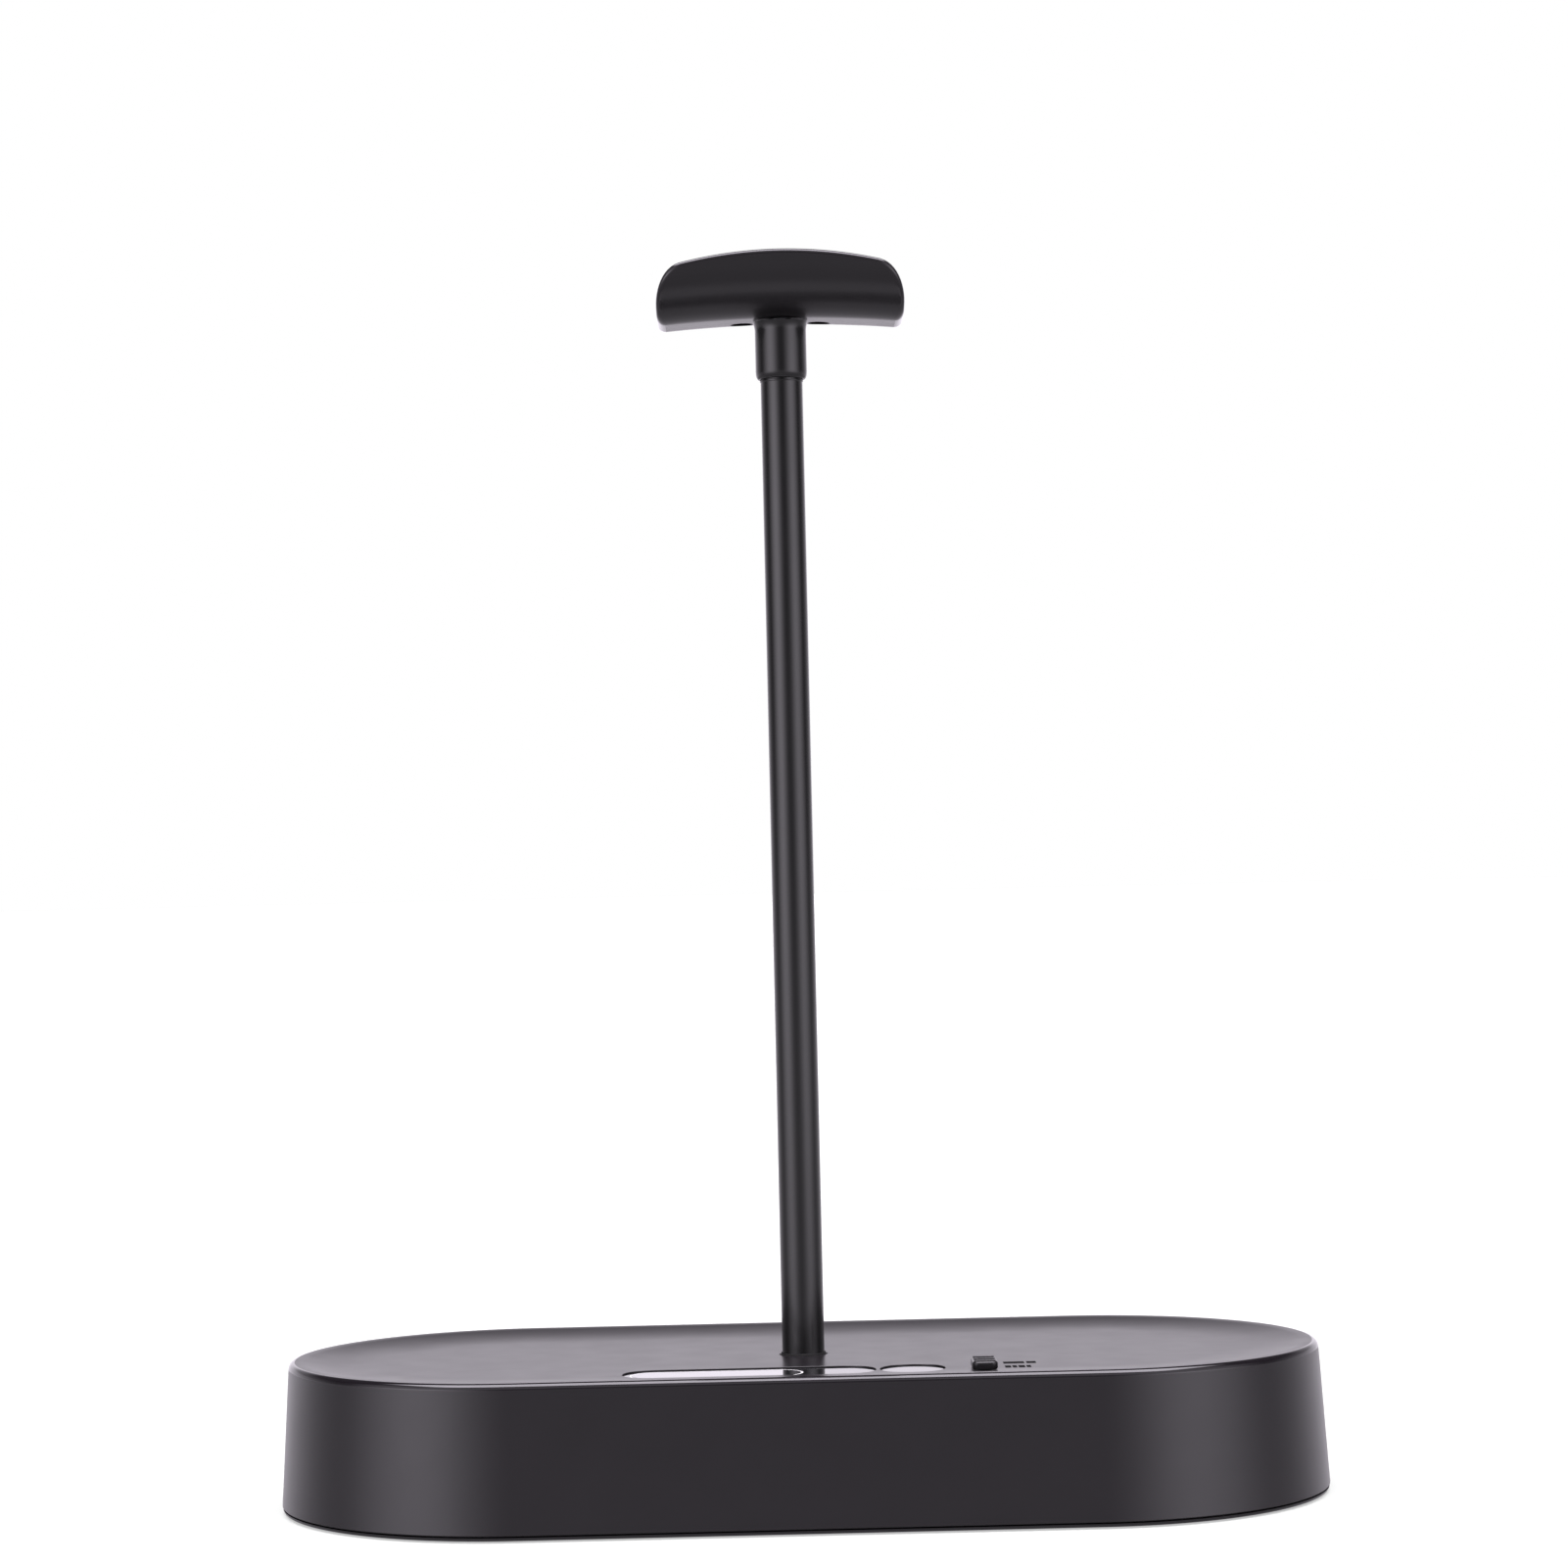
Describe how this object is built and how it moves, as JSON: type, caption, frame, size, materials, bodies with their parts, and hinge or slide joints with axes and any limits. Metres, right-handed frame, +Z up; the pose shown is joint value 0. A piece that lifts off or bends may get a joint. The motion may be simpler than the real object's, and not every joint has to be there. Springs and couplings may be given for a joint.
{
  "type": "headphone stand",
  "caption": "Desk stand for headphones: stadium-shaped weighted base with a dished tray and control strip, a slim round post and an arched trough saddle.",
  "frame": {"origin": "on the tabletop under the feet, on the post's axis at the middle of the base", "axes": "+Z up along the post, +X along the base's length towards the slide switch, +Y to the rear, away from the control strip"},
  "size_m": [0.2, 0.093, 0.2374],
  "materials": {
    "satin_black_housing": "satin, fine grain, slightly purple black",
    "satin_black_trim": "satin black moulded edge and knob",
    "satin_black_metal": "satin black powder paint",
    "black_rubber": "matt black rubber",
    "soft_liner": "matt black silicone",
    "gloss_panel": "high gloss black",
    "smoked_lens": "smoked, high gloss",
    "light_diffuser": "milky translucent",
    "led": "clear resin",
    "ballast_steel": "cut steel plate, oiled",
    "zinc_screw": "bright zinc",
    "black_screw": "black oxide",
    "brass_insert": "turned brass",
    "socket_steel": "tin plated steel",
    "circuit_board": "green solder mask",
    "black_component": "moulded black",
    "white_connector": "natural nylon",
    "lead_jacket": "black jacket"
  },
  "bodies": {
    "stand": {"base_shell": "satin_black_housing", "bottom_cover": "satin_black_trim", "ballast_plate": "ballast_steel", "foot_front_left": "black_rubber", "foot_front_right": "black_rubber", "foot_rear_left": "black_rubber", "foot_rear_right": "black_rubber", "cover_screw_front_left": "black_screw", "cover_screw_front_right": "black_screw", "cover_screw_rear_left": "black_screw", "cover_screw_rear_right": "black_screw", "ballast_screw_front_left": "zinc_screw", "ballast_screw_front_right": "zinc_screw", "ballast_screw_rear_left": "zinc_screw", "ballast_screw_rear_right": "zinc_screw", "post_tube": "satin_black_metal", "post_trim_ring": "black_rubber", "post_lower_plug": "brass_insert", "post_upper_plug": "brass_insert", "post_bolt": "zinc_screw", "collar": "satin_black_metal", "saddle_shell": "satin_black_housing", "saddle_liner": "soft_liner", "saddle_bolt": "zinc_screw", "liner_screw_left": "black_screw", "liner_screw_right": "black_screw", "indicator_panel": "gloss_panel", "display_lens": "smoked_lens", "light_diffuser": "light_diffuser", "status_led_1": "led", "status_led_2": "led", "status_led_3": "led", "status_led_4": "led", "status_led_5": "led", "tact_switch_body": "black_component", "slide_switch_body": "socket_steel", "control_board": "circuit_board", "board_screw_front_left": "zinc_screw", "board_screw_front_right": "zinc_screw", "board_screw_rear_left": "zinc_screw", "board_screw_rear_right": "zinc_screw", "controller_chip": "black_component", "power_board": "circuit_board", "standoff_left": "brass_insert", "power_board_screw_left": "zinc_screw", "standoff_right": "brass_insert", "power_board_screw_right": "zinc_screw", "usb_socket_shell": "socket_steel", "usb_socket_tongue": "black_component", "lead_plug_rear": "white_connector", "lead_plug_front": "white_connector", "board_lead": "lead_jacket"},
    "button": {"button_cap": "gloss_panel", "tact_switch_plunger": "white_connector"},
    "slider": {"switch_knob": "satin_black_trim", "slide_switch_lever": "black_component"}
  },
  "joints": [
    {"name": "button_press", "type": "slide", "parent": "stand", "child": "button", "axis": [0, 0, -1], "range_m": [0, 0.0004], "stiffness_N_per_m": 1500},
    {"name": "switch_slide", "type": "slide", "parent": "stand", "child": "slider", "axis": [0, 1, 0], "range_m": [0, 0.003]}
  ]
}
